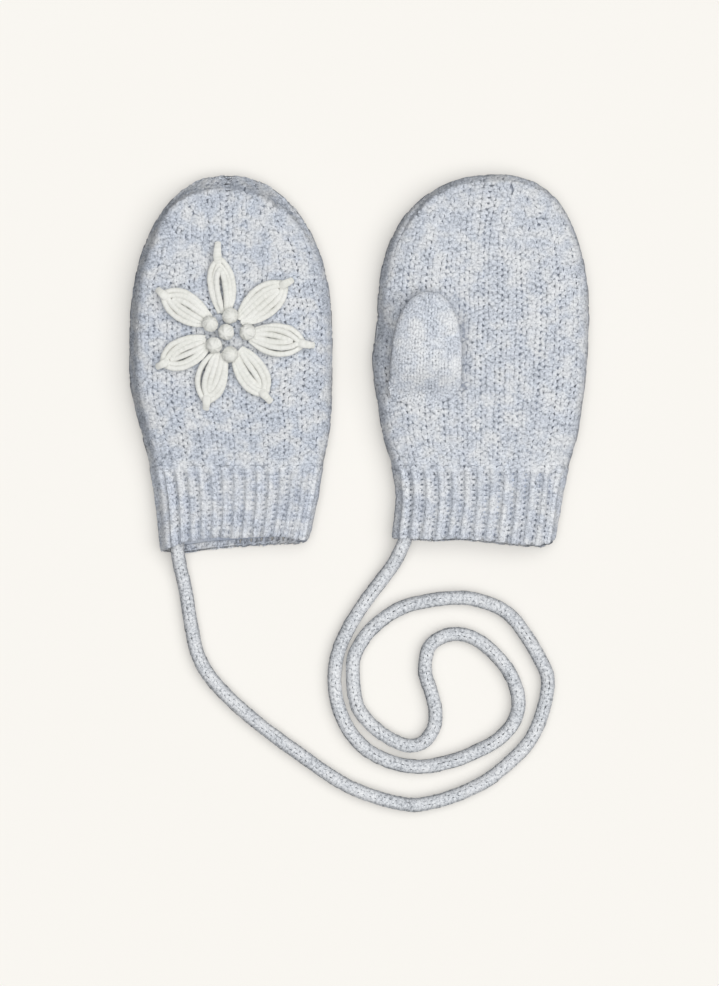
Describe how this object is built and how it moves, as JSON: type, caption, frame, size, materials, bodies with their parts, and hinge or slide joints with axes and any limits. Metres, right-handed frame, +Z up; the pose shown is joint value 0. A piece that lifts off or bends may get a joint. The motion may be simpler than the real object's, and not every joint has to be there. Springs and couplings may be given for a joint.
{
  "type": "pair of knitted mittens on a cord",
  "caption": "Toddler's knitted wool mittens laid out flat, one back up with an embroidered flower, one palm up with its thumb on the palm, joined by a knitted cord that lies in a loose spiral.",
  "frame": {"origin": "middle of the footprint of the mittens, on the surface that they lie on", "axes": "+X across the pair, from the flower mitten to the plain one; +Y towards the fingertips; +Z up from the surface"},
  "size_m": [0.184, 0.2568, 0.0238],
  "materials": {
    "hand_knit": "matt melange wool in white, light blue and periwinkle, broken-check knit",
    "rib_knit": "the same wool in one-by-one rib",
    "thumb_knit": "the same wool in plain knit",
    "cord_knit": "the same wool as a knitted tube cord",
    "cream_yarn": "thick matt cream wool"
  },
  "bodies": {
    "root": {"flower_mitten_back": "hand_knit", "flower_mitten_palm": "hand_knit", "flower_mitten_cuff": "rib_knit", "flower_mitten_thumb": "thumb_knit", "plain_mitten_palm": "hand_knit", "plain_mitten_back": "hand_knit", "plain_mitten_cuff": "rib_knit", "plain_mitten_thumb": "thumb_knit", "flower_petal_1": "cream_yarn", "flower_petal_2": "cream_yarn", "flower_petal_3": "cream_yarn", "flower_petal_4": "cream_yarn", "flower_petal_5": "cream_yarn", "flower_petal_6": "cream_yarn", "flower_petal_7": "cream_yarn", "flower_knot_1": "cream_yarn", "flower_knot_2": "cream_yarn", "flower_knot_3": "cream_yarn", "flower_knot_4": "cream_yarn", "flower_knot_5": "cream_yarn", "flower_knot_6": "cream_yarn", "cord": "cord_knit"}
  },
  "joints": []
}
